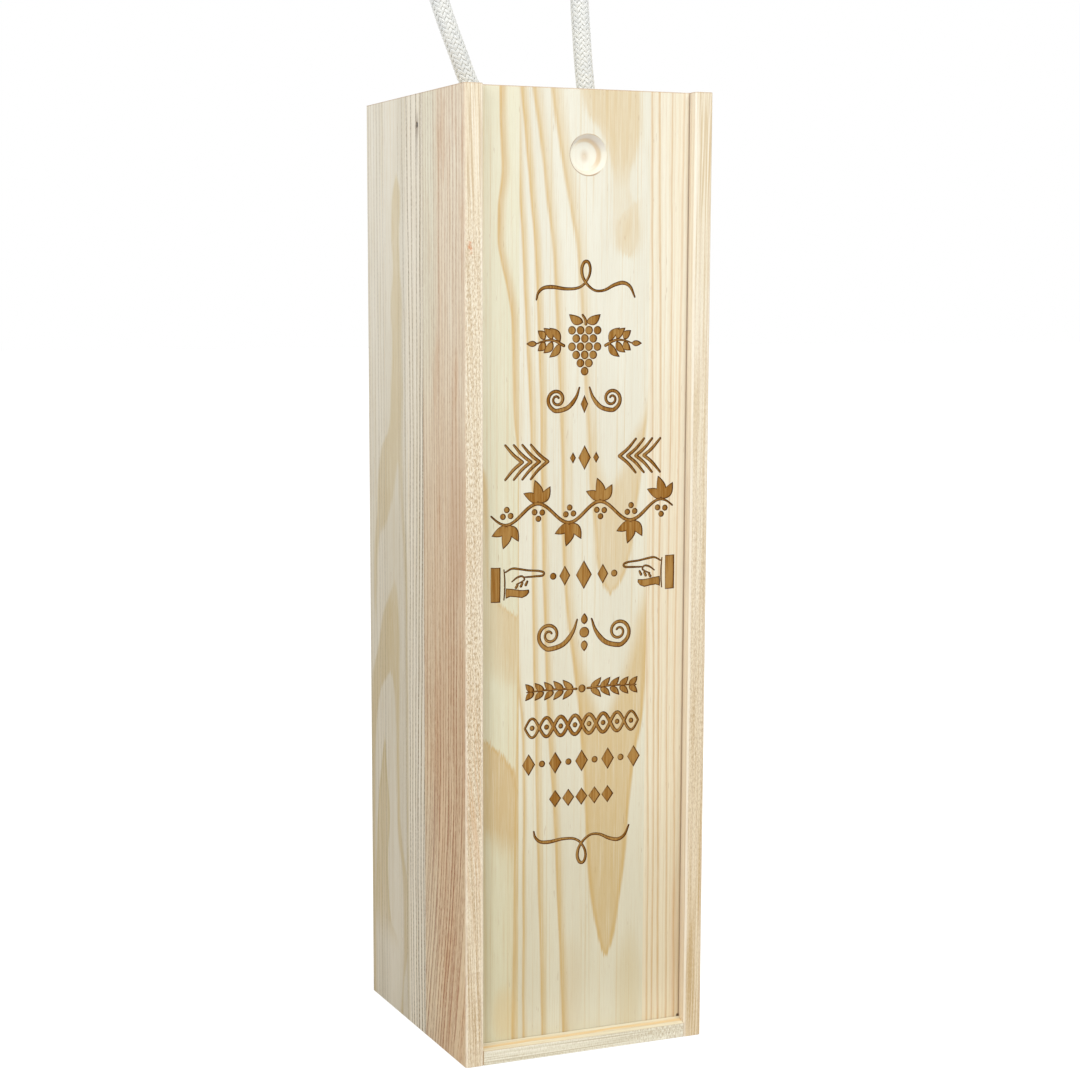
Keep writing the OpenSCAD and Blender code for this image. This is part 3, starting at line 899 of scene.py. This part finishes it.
def plain_board(name, seed, centre, tips, **more):
    """A flat-sawn board whose grain is one stack of nested arches."""
    pairs = long_flames(centre, tips, 3.0, seed)
    strengths = (0.7, 0.75, 0.7)
    flames = [(pairs[2 * k], pairs[2 * k + 1], (0.5, 1.8), strengths[k], None) for k in range(3)]
    return pine(name, seed=seed, lean=0.5, flames=flames, **more)


RIGHT_REAR = plain_board(
    "pine_right_rear", 7.0, 22,
    [(338, 24, 260), (300, 19, 240), (246, 20, 200), (212, 14, 180), (150, 18, 140), (118, 12, 110)],
    **SIDE, tones=COOL, late=(208, 180, 138), low=(240, 236, 226),
    rings=[(-11, 4, 2.6, 0.8, 0.7)], extra=brad_tear_and_foot_shade)
BACK_LEFT = plain_board(
    "pine_back_left", 8.0, -16,
    [(348, 22, 300), (318, 18, 280), (240, 17, 200), (214, 12, 180), (120, 13, 110), (98, 8, 90)],
    late=(214, 180, 128), low=(245, 242, 232), rings=[(-44, -34, 2.2, 0.8, 0.6)])
BACK_RIGHT = pine(
    "pine_back_right", seed=9.0, lean=0.5, tones=PINK, late=(198, 158, 112), low=(242, 232, 216),
    rings=[(4, 42, 2.3, 1.6, 0.6)])


def sill_streak(g, normal, x, y, z):
    """The resinous streak along the smooth slope of the sill, and a darker line on its lower arris."""
    slope = g.smooth(y, -45.6, -45.9) * g.smooth(normal["z"], 0.5, 0.8)
    wave = g.noise(x * 0.03, 2.0, 0.0) * 3.0
    near = g.smooth(g.math("ABSOLUTE", y + 46.2 + wave), 0.9, 0.15)
    g.lay(slope * near * 0.6, (234, 190, 116))
    bevel = g.smooth(y, -49.4, -49.6) * g.window(normal["z"], 0.25, 0.5, 0.85, 0.95)
    g.lay(bevel * 0.5, (176, 156, 122))


BOTTOM = pine(
    "pine_bottom", **LEVEL, seed=10.0, lean=1.6,
    tones=((240, 231, 200), (232, 224, 196)), late=(214, 186, 142), rings=[(-60, 60, 2.4, 1.0, 0.5)],
    sawn=dict(base=(234, 230, 210), cover=0.8, shade=(200, 188, 160), tone=(206, 180, 140),
              nap=(0.5, 0.5), teeth=0.4, comb=1.8),
    extra=sill_streak)
TOP = pine(
    "pine_top", **LEVEL, seed=11.0, lean=0.8,
    late=(216, 186, 138), rings=[(-60, 60, 3.4, 2.0, 0.6)])


def steel():
    """Dull steel with spots of dirt."""
    g = Graph(bpy.data.materials.new("brad_steel"))
    x, y, z = g.place()
    spots = g.noise(x * 2.0, y * 2.0, z * 2.0, 3.0)
    g.colour = g.mix(g.smooth(spots, 0.4, 0.7), (150, 148, 144), (104, 96, 88))
    return g.finish(0.35 + spots * 0.3, spots, 0.00005, 0.5, Metallic=1.0)


STEEL = steel()
ARRIS_M = 0.00018                       # width of a softened arris, in metres

for node, material in {
        "left_front_stave": LEFT_FRONT, "left_rear_stave": LEFT_REAR, "right_front_stave": RIGHT_FRONT,
        "right_rear_stave": RIGHT_REAR, "back_left_stave": BACK_LEFT, "back_right_stave": BACK_RIGHT,
        "bottom_board": BOTTOM, "top_board": TOP, "left_brad": STEEL, "right_brad": STEEL}.items():
    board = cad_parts[node]
    for slot in board.material_slots:
        slot.material = material
    if node not in ("left_rear_stave", "right_rear_stave", "top_board", "left_brad", "right_brad"):
        board.modifiers.new("weld", "WELD").merge_threshold = 0.00001
        soften = board.modifiers.new("soften", "BEVEL")
        soften.width = ARRIS_M
        soften.segments = 2
        soften.limit_method = "ANGLE"
        soften.angle_limit = radians(30)
        soften.harden_normals = False

# --- Ornament burnt into the lid ---------------------------------------------------

BURN_DEPTH = 0.35
OVERCUT = 0.5                           # the cutting tool starts this far in front of the face
RIM = 0.3                               # width of the dark rim inside a burnt edge
THINNEST, SMALLEST = 0.07, 0.002        # half a line's least width, and the least area of a shape
FLOOR_SLOT, RIM_SLOT = 1, 2             # materials of a carved stave, after its pine


class Ornament:
    """Flat shapes on the lid's face, in millimetres across and up, each with a narrower inner copy."""

    def __init__(self):
        self.polygons, self.inner = [], []

    def add(self, outline, inner=False):
        """Adds an outline, which must not cross itself, turned anticlockwise."""
        outline = [(float(u), float(v)) for u, v in outline]
        after = outline[1:] + outline[:1]
        area = sum(p[0] * q[1] - q[0] * p[1] for p, q in zip(outline, after)) / 2
        if abs(area) < SMALLEST or crosses_itself(outline):
            return
        self.polygons.append(outline if area > 0 else outline[::-1])
        self.inner.append(inner)

    def stroke(self, points, widths, step=0.5):
        """A line whose width swells and thins along it, with round ends."""
        line = spline(points, step)
        along = np.gradient(line, axis=0)
        along /= np.linalg.norm(along, axis=1)[:, None]
        square = np.stack([-along[:, 1], along[:, 0]], 1)
        half = np.interp(np.linspace(0, 1, len(line)), np.linspace(0, 1, len(widths)), widths) / 2
        for inset in (0.0, RIM):
            h = np.maximum(half - inset, THINNEST)[:, None]
            left, right = line + square * h, line - square * h
            for i in range(len(line) - 1):
                self.add([left[i], left[i + 1], right[i + 1], right[i]], inset > 0)
            for end in (0, -1):
                self.ring(*line[end], float(h[end, 0]), inset > 0, 0.31)

    def ring(self, x, z, radius, inner=False, turn=0.0):
        count = 10 if radius < 0.8 else 18
        self.add([(x + radius * cos(2 * pi * k / count + turn),
                   z + radius * sin(2 * pi * k / count + turn)) for k in range(count)], inner)

    def disc(self, x, z, radius):
        self.ring(x, z, radius)
        self.ring(x, z, radius - RIM, True)

    def shape(self, outline):
        """A filled shape and its inner copy, moved in along the mean of the sides' directions."""
        self.add(outline)
        p = np.array(outline, float)
        after = np.roll(p, -1, 0)
        if (p[:, 0] * after[:, 1] - after[:, 0] * p[:, 1]).sum() < 0:
            p = p[::-1]
        side = np.roll(p, -1, 0) - p
        side /= np.linalg.norm(side, axis=1)[:, None]
        inward = np.stack([-side[:, 1], side[:, 0]], 1)
        both = inward + np.roll(inward, 1, 0)
        both /= np.maximum((both ** 2).sum(1), 0.6)[:, None] / 2
        self.add(p + both * RIM, True)

    def lozenge(self, x, z, wide, high):
        for inset in (0.0, RIM):
            k = 1 - inset * 2 * hypot(wide, high) / (wide * high)
            w, h = wide / 2 * k, high / 2 * k
            self.add([(x - w, z), (x, z - h), (x + w, z), (x, z + h)], inset > 0)

    def leaf(self, x, z, angle, long, wide, bend=0.15):
        """A pointed leaf that starts at a point and leans at an angle in degrees."""
        a = radians(angle)
        for inset in (0.0, RIM):
            top, foot = [], []
            for k in range(11):
                t = k / 10
                at = inset * 1.6 + t * (long - inset * 3.6)
                w = (wide / 2 - inset) * sin(pi * t ** 0.8) ** 0.9
                mid = bend * long * sin(pi * at / long)
                top.append((at, mid + w))
                foot.append((at, mid - w))
            self.add([(x + u * cos(a) - v * sin(a), z + u * sin(a) + v * cos(a))
                      for u, v in top + foot[-2:0:-1]], inset > 0)

    def mirrored(self, draw, axis=0.0):
        """What draw adds, and its mirror image about an upright line."""
        start = len(self.polygons)
        draw()
        for k in range(start, len(self.polygons)):
            self.add([(2 * axis - x, z) for x, z in self.polygons[k]], self.inner[k])


def crosses_itself(outline):
    """Whether two sides of an outline cross that don't share a corner."""
    p = np.array(outline)
    q = np.roll(p, -1, 0)
    n = len(p)

    def side(a, b, c):
        ab, ac = b - a, c - a
        return ab[..., 0] * ac[..., 1] - ab[..., 1] * ac[..., 0]

    a, b, c, d = p[:, None], q[:, None], p[None], q[None]
    cross = (side(a, b, c) * side(a, b, d) < 0) & (side(c, d, a) * side(c, d, b) < 0)
    near = abs(np.arange(n)[:, None] - np.arange(n)[None])
    cross[(near < 2) | (near == n - 1)] = False
    return bool(cross.any())


def flourish(o, x, z, up):
    """A long brace with a loop in its middle."""
    path = [(-19.2, -4.6), (-18.6, -2.4), (-16.6, -0.6), (-13, -0.2), (-8, -0.8), (-3.6, -0.6),
            (-0.8, 0.8), (1.2, 3.6), (1.7, 6.4), (0.9, 8.6), (-0.6, 8.6), (-1.6, 6.4), (-1.2, 3.4),
            (0.8, 0.5), (3.8, -1.4), (7.4, -1.2), (11.2, 0.6), (14.8, 1.4), (17.6, 0), (19.4, -3.6)]
    widths = [0.7, 1.2, 1.5, 1.3, 1.1, 1.0, 0.95, 1.1, 1.3, 1.3, 1.1, 0.95, 1.0, 1.3, 1.5, 1.2, 0.7]
    o.stroke([(x + a, z + up * b) for a, b in path], widths)


def chevrons(o, x, z, way):
    """Four arrow heads in a row."""
    for k in range(4):
        tip = x + way * (3.3 * k - 1.6)
        for side in (-1, 1):
            o.stroke([(tip - way * 6.6, z + side * 6.1), (tip - way * 3.4, z + side * 2.6), (tip, z)],
                     [0.9, 1.25, 1.35])


def pointing_hand(o, x, z, way):
    """A printer's fist: a cuff, a hand and one long finger."""
    def at(points):
        return [(x + way * a, z + b) for a, b in points]

    o.shape(at([(-10.6, -6.4), (-8.6, -6.5), (-6.9, -6.5), (-6.8, 0), (-6.8, 6.1), (-8.6, 6.1),
                (-10.6, 6.2), (-10.65, 0)]))
    o.stroke(at([(-5.5, -5.6), (-5.2, -2), (-5.2, 1.8), (-5.5, 5.2)]), [0.5, 0.65, 0.5])
    o.stroke(at([(-4.9, 4.3), (-2.4, 5.5), (0.6, 5.2), (4, 4.6), (8.2, 4.2), (10.1, 3.5), (9.6, 2.5),
                 (6.4, 2.3), (2.4, 2.2)]), [0.6, 0.9, 0.8, 0.8, 0.9, 0.8, 0.6])
    o.stroke(at([(-2.4, 0.8), (-0.4, 2.2), (1.6, 2.6), (2.5, 1.4), (1.2, 0.5), (-0.6, -0.2)]),
             [0.5, 0.8, 0.7, 0.5])
    for k in range(3):
        o.stroke(at([(3.6 - 1.9 * k, 0.6 - 0.5 * k), (3.0 - 1.9 * k, -0.6 - 0.4 * k)]), [0.9, 1.1])
    o.shape(at([(-4.8, -5.2), (-3, -4.6), (-0.6, -4.9), (1.6, -5.3), (3.4, -4.6), (4.4, -3.4),
                (4.3, -2.3), (2.4, -2.4), (0.6, -2.3), (-2.0, -1.8), (-4.7, -1.5), (-4.9, -3.4)]))


def bunch_of_grapes(o, x, z):
    """Rows of berries under a stalk with two leaves."""
    radius, pitch = 1.55, 3.35
    for row, count in enumerate((4, 3, 4, 3, 2, 1)):
        for k in range(count):
            o.disc(x + (k - (count - 1) / 2) * pitch, z + 4.2 - row * 2.9, radius)
    o.stroke([(x + 0.4, z + 6.4), (x + 0.2, z + 8), (x - 0.9, z + 9.6)], [1.2, 0.9])
    for way in (-1, 1):
        o.leaf(x + way * 0.6, z + 6.9, 90 - way * 62, 6.4, 3.4, way * -0.1)


def sprig(o, x, z, way, long):
    """A stem with leaves in pairs, getting smaller towards its tip."""
    o.stroke([(x, z - 1.2), (x + way * long * 0.35, z + 0.6), (x + way * long * 0.7, z + 0.5),
              (x + way * long, z - 0.6)], [1.2, 0.9, 0.5])
    for k in range(3):
        at, size = 0.12 + 0.27 * k, 6.6 - 1.1 * k
        stem = z - 1.2 + 1.9 * sin(pi * min(at + 0.12, 1) * 0.8)
        for side in (-1, 1):
            angle = 48 * side
            o.leaf(x + way * long * at, stem + side * 0.35, angle if way > 0 else 180 - angle, size, 2.9,
                   0.1 * side * way)
    o.leaf(x + way * (long - 0.6), z - 0.5, 0 if way > 0 else 180, 4.2, 2.2, 0)


def scroll(o, x, z, way, size, widths):
    """A line that curls in on itself at its outer end."""
    curl = [(x, z + size), (x + way * size * 0.35, z + size * 0.1), (x + way * size * 1.1, z - size * 0.72)]
    for k in range(21):
        t = k / 20
        a = radians(590 * t - 90)
        r = size * (1 - 0.8 * t ** 0.8)
        curl.append((x + way * (size * 2.15 + r * cos(a)), z + r * sin(a)))
    o.stroke(curl, widths)


def make_ornament():
    """The whole ornament, from the head of the lid down."""
    o = Ornament()
    flourish(o, 0.3, 281.2, 1)
    bunch_of_grapes(o, 0, 261.6)
    o.mirrored(lambda: sprig(o, 8.2, 261.6, 1, 11.0))
    o.mirrored(lambda: scroll(o, 2.0, 241.4, 1, 4.1, [0.7, 1.7, 1.7, 1.4, 1.3, 1.1, 0.9]))
    o.lozenge(0, 239.6, 3.0, 6.6)
    chevrons(o, -22.6, 219.4, 1)
    chevrons(o, 22.4, 220.6, -1)
    o.lozenge(0.2, 220.4, 5.0, 9.0)
    for way in (-1, 1):
        o.lozenge(0.2 + way * 4.6, 220.4, 2.4, 4.2)
    vine(o, 0.4, 200.8)
    pointing_hand(o, -25.8, 176.0, 1)
    pointing_hand(o, 26.3, 177.6, -1)
    o.lozenge(0.2, 178.0, 6.4, 10.6)
    for way in (-1, 1):
        o.lozenge(0.2 + way * 7.6, 178.0, 4.4, 7.4)
        o.disc(0.2 + way * 12.2, 178.0, 1.3)
    o.mirrored(lambda: scroll(o, 3.4, 156.6, 1, 5.1, [0.7, 1.9, 1.9, 1.5, 1.3, 1.1, 0.9]), 0.5)
    o.disc(0.5, 156.9, 2.0)
    for side in (-1, 1):
        o.leaf(0.5, 156.9 + side * 2.9, 90 * side, 4.2, 2.8, 0)
    garland(o, -0.3, 136.2)
    twist(o, -0.2, 122.9)
    for k in range(-4, 5):
        if k % 2:
            o.disc(-0.3 + k * 5.3, 109.4, 1.25)
        else:
            o.lozenge(-0.3 + k * 5.3, 109.4, 5.2, 8.2)
    for k in range(-2, 3):
        o.lozenge(-0.3 + k * 5.3, 96.0, 4.9, 6.6)
    flourish(o, -0.2, 79.8, -1)
    return o


def vine(o, x, z):
    """A running stem with leaves, tendrils and berries."""
    wave, rise = 24.6, 3.6
    stem = [(x - 36.6 + k, z + rise * sin(2 * pi * (k - 36.5) / wave))
            for k in range(0, 74, 2)]
    o.stroke(stem, [0.7, 1.4, 1.3, 1.4, 1.3, 1.4, 0.7])
    for k in range(6):
        at = -30.6 + 12.3 * k
        side = -1 if k % 2 else 1
        foot = z + rise * sin(2 * pi * at / wave)
        for lean, long, wide in ((52, 7.6, 3.7), (100, 8.6, 4.0), (148, 7.0, 3.4)):
            o.leaf(x + at, foot - side * 0.2, -side * lean, long, wide, 0.08 * side)
        for dx, dz in ((-1.5, 3.0), (1.5, 3.2), (0, 5.4)):
            o.disc(x + at + dx, foot + side * dz, 1.15)


def garland(o, x, z):
    """Two laurel branches that meet at a berry."""
    o.disc(x, z, 1.5)

    def half():
        o.stroke([(x + 2.2, z), (x + 12, z + 0.4), (x + 22, z)], [0.9, 0.9, 0.5], 0.8)
        for k in range(5):
            for side in (-1, 1):
                o.leaf(x + 3.4 + 3.9 * k, z + side * 0.3, 38 * side, 5.6 - 0.25 * k, 2.5, -0.08 * side)
    o.mirrored(half, x)


def twist(o, x, z):
    """Two waves that cross, with a dot in each eye."""
    rise, wave = 3.5, 11.4
    for sign in (-1, 1):
        o.stroke([(x - 22.8 + k * 0.95, z + sign * rise * sin(2 * pi * k * 0.95 / wave))
                  for k in range(49)], [0.9, 1.5, 1.5, 1.5, 0.9])
    for k in range(8):
        o.disc(x - 22.8 + wave * (k / 2 + 0.25), z, 1.0)


def burnt(name, light, dark):
    """Burnt wood in two tones."""
    g = Graph(bpy.data.materials.new(name))
    x, y, z = g.place()
    streak = g.noise(x * 1.3, y, z * 0.06, 3.0, 0.6)
    cloud = g.noise(x * 0.16, y, z * 0.03)
    g.colour = g.mix(g.smooth(streak * 0.55 + cloud * 0.45, 0.38, 0.62), light, dark)
    hair = g.noise(x * 5.0, y, z * 0.3)
    g.lay(g.smooth(hair, 0.5, 0.75) * 0.3, dark)
    return g.finish(0.85, hair, 0.00015, 0.15)


BURNT_FLOOR = burnt("burnt_floor", (180, 138, 76), (148, 98, 34))
BURNT_RIM = burnt("burnt_rim", (118, 74, 26), (94, 56, 18))


def burning_tool(o, face_y):
    """A closed solid that takes the ornament out of the lid's face."""
    verts2, faces2 = [], []
    for polygon in o.polygons:
        faces2.append(list(range(len(verts2), len(verts2) + len(polygon))))
        verts2 += [Vector(p) for p in polygon]
    flat, _, faces, _, _, source = delaunay_2d_cdt(verts2, [], faces2, 0, 1e-5, True)
    kept = [(f, any(o.inner[i] for i in ids)) for f, ids in zip(faces, source) if ids]
    count = len(flat)
    front, floor = face_y - OVERCUT, face_y + BURN_DEPTH
    verts = [(p[0], front, p[1]) for p in flat] + [(p[0], floor, p[1]) for p in flat]
    quads, slots = [], []
    edges = {}                          # a dictionary, because it keeps their order
    for (a, b, c), inner in kept:
        quads += [(a, b, c), (a + count, c + count, b + count)]
        slots += [FLOOR_SLOT, FLOOR_SLOT if inner else RIM_SLOT]
        edges.update({(a, b): True, (b, c): True, (c, a): True})
    for a, b in edges:
        if (b, a) not in edges:
            quads.append((b, a, a + count, b + count))
            slots.append(RIM_SLOT)
    return [Vector(v) * MM for v in verts], quads, slots


def edit(mesh, change):
    """Runs a change on the vertices and faces of a mesh."""
    work = bmesh.new()
    work.from_mesh(mesh)
    change(work)
    work.to_mesh(mesh)
    work.free()


def drop_loose(work):
    """Takes out the points that no face uses."""
    loose = [v for v in work.verts if not v.link_faces]
    bmesh.ops.delete(work, geom=loose, context="VERTS")


def weld(work):
    """Joins points that lie at the same place."""
    bmesh.ops.remove_doubles(work, verts=work.verts, dist=0.000002)


def carved_lid():
    """A copy of each lid stave with its part of the ornament cut into it."""
    face_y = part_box("lid_centre_stave")[0].y / MM
    verts, quads, slots = burning_tool(make_ornament(), face_y)
    for node, board in (("lid_left_stave", LID_LEFT), ("lid_centre_stave", LID_CENTRE),
                        ("lid_right_stave", LID_RIGHT)):
        materials = [board, BURNT_FLOOR, BURNT_RIM]
        tool = new_piece("tool", verts, quads, materials, slots)
        edit(tool.data, drop_loose)
        plain_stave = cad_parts[node].data
        piece = new_piece(node.replace("lid_", "carved_"), [v.co for v in plain_stave.vertices],
                          [p.vertices for p in plain_stave.polygons], materials)
        edit(piece.data, weld)
        cut = piece.modifiers.new("cut", "BOOLEAN")
        cut.operation, cut.object, cut.solver = "DIFFERENCE", tool, "MANIFOLD"
        bpy.context.view_layer.update()
        depsgraph = bpy.context.evaluated_depsgraph_get()
        carved = bpy.data.meshes.new_from_object(piece.evaluated_get(depsgraph))
        piece.modifiers.remove(cut)
        piece.data = carved
        bpy.data.objects.remove(tool)
        carved.polygons.foreach_set("use_smooth", [True] * len(carved.polygons))
        carved.set_sharp_from_angle(angle=radians(35))
        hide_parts(node)
        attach(piece, "lid")


carved_lid()
